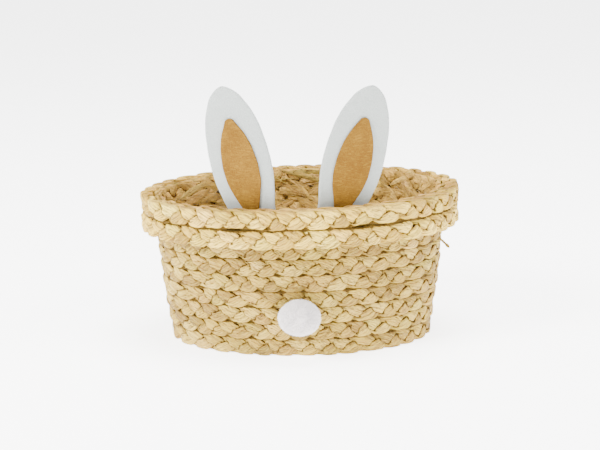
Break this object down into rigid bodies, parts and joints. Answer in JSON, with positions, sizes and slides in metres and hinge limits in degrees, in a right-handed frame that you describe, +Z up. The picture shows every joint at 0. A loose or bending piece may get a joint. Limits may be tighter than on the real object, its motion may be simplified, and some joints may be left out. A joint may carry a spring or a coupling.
{
  "type": "easter basket",
  "caption": "Oval basket of sewn husk plaits with a thick rim, two felt rabbit ears that bend at the rim and a pom-pom tail on the front.",
  "frame": {"origin": "middle of the underside of the base, on the surface that the basket stands on", "axes": "+Z up, +X along the oval's length, -Y towards the front with the pom-pom"},
  "size_m": [0.29, 0.2078, 0.2425],
  "materials": {
    "husk": "dry plaited husk, matt with a faint satin on the leaves",
    "husk_base": "dry plaited husk, matt",
    "cotton": "undyed twisted thread",
    "felt_white": "pressed felt, matt",
    "felt_tan": "pressed felt, matt",
    "pom_white": "fluffy cut yarn"
  },
  "bodies": {
    "root": {"wall_row_1": "husk", "wall_row_2": "husk", "wall_row_3": "husk", "wall_row_4": "husk", "wall_row_5": "husk", "wall_row_6": "husk", "wall_row_7": "husk", "wall_row_8": "husk", "wall_row_9": "husk", "rim_braid_upper": "husk", "rim_braid_lower": "husk", "rim_thread": "cotton", "wall_thread_1": "cotton", "wall_thread_2": "cotton", "wall_thread_3": "cotton", "wall_thread_4": "cotton", "wall_thread_5": "cotton", "wall_thread_6": "cotton", "wall_thread_7": "cotton", "wall_thread_8": "cotton", "base_coil": "husk_base", "base_core": "husk_base", "left_ear_tab": "felt_white", "right_ear_tab": "felt_white", "left_ear_stitches": "cotton", "right_ear_stitches": "cotton", "pompom": "pom_white", "pompom_tie": "cotton"},
    "left_ear": {"left_ear": "felt_white", "left_inner_ear": "felt_tan"},
    "right_ear": {"right_ear": "felt_white", "right_inner_ear": "felt_tan"}
  },
  "joints": [
    {"name": "left_ear_bend", "type": "hinge", "parent": "root", "child": "left_ear", "pos_m": [-0.04211, -0.07192, 0.139], "axis": [0.9735, -0.2286, 0], "range_deg": [-90, 60], "stiffness_Nm_per_rad": 0.03},
    {"name": "right_ear_bend", "type": "hinge", "parent": "root", "child": "right_ear", "pos_m": [0.03702, -0.07304, 0.139], "axis": [0.9799, 0.1993, 0], "range_deg": [-90, 60], "stiffness_Nm_per_rad": 0.03}
  ]
}
